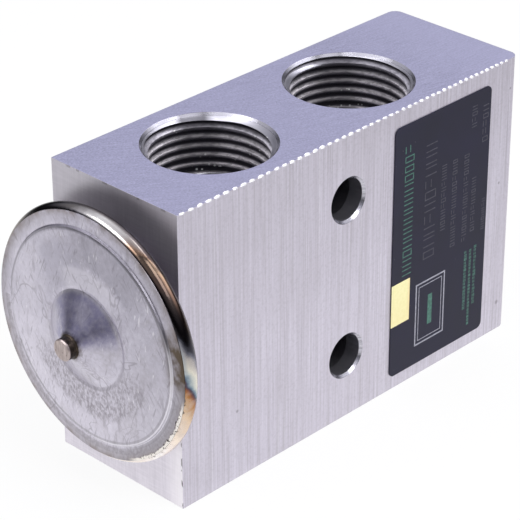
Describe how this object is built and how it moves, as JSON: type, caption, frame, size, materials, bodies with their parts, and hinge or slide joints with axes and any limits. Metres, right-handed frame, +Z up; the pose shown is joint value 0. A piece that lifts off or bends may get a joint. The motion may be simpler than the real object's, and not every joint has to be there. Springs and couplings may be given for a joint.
{
  "type": "expansion valve",
  "caption": "Block-type thermostatic expansion valve with threaded ports, through mounting holes, a welded diaphragm head and a spring-loaded ball.",
  "frame": {"origin": "on the lower port face, midway across the width, in the plane of the two mounting holes", "axes": "+X along the valve axis, from the diaphragm head to the adjusting screw; +Y across the width, away from the labelled face; +Z up, out of the face with the suction and outlet ports"},
  "size_m": [0.0825, 0.0388, 0.047],
  "materials": {
    "block_aluminium": "milled and extruded aluminium, lightly scratched",
    "head_steel": "pickled stainless steel, mottled grey",
    "weld_steel": "bright weld bead with heat tint",
    "plug_steel": "dark oxide with a bright tip",
    "inner_steel": "plain turned steel",
    "rod_aluminium": "turned aluminium",
    "spring_steel": "drawn wire",
    "brass": "turned brass",
    "seal_rubber": "smooth rubber",
    "label_film": "printed polyester film, satin",
    "label_yellow": "printed colour"
  },
  "bodies": {
    "block": {"valve_body": "block_aluminium", "upper_cover": "head_steel", "lower_cover": "head_steel", "rim_weld": "weld_steel", "diaphragm": "inner_steel", "charge_plug": "plug_steel", "head_sealing_ring": "seal_rubber", "rod_sealing_ring": "seal_rubber", "ring_retainer": "inner_steel", "superheat_spring": "spring_steel", "label": "label_film", "label_yellow_field": "label_yellow"},
    "valve_train": {"stop_plate": "inner_steel", "sensing_rod": "rod_aluminium", "push_rod": "inner_steel", "valve_ball": "inner_steel", "ball_holder": "brass", "damping_ring": "inner_steel"},
    "adjuster_seal": {"screw_sealing_ring": "seal_rubber"},
    "adjuster": {"adjusting_screw": "brass"}
  },
  "joints": [
    {"name": "valve_stroke", "type": "slide", "parent": "block", "child": "valve_train", "axis": [1, 0, 0], "range_m": [0, 0.0008], "stiffness_N_per_m": 500, "springref_m": -0.002, "deforming": ["diaphragm", "superheat_spring"]},
    {"name": "adjuster_travel", "type": "slide", "parent": "block", "child": "adjuster_seal", "axis": [1, 0, 0], "range_m": [-0.0005, 0.0005], "deforming": ["superheat_spring"]},
    {"name": "adjuster_turn", "type": "hinge", "parent": "adjuster_seal", "child": "adjuster", "pos_m": [0.03, 0, 0.0255], "axis": [1, 0, 0], "range_deg": [-180.2, 180.2]}
  ],
  "couplings": [
    {"joint": "adjuster_turn", "follows": "adjuster_travel", "rad_per_m": 6283.2}
  ]
}
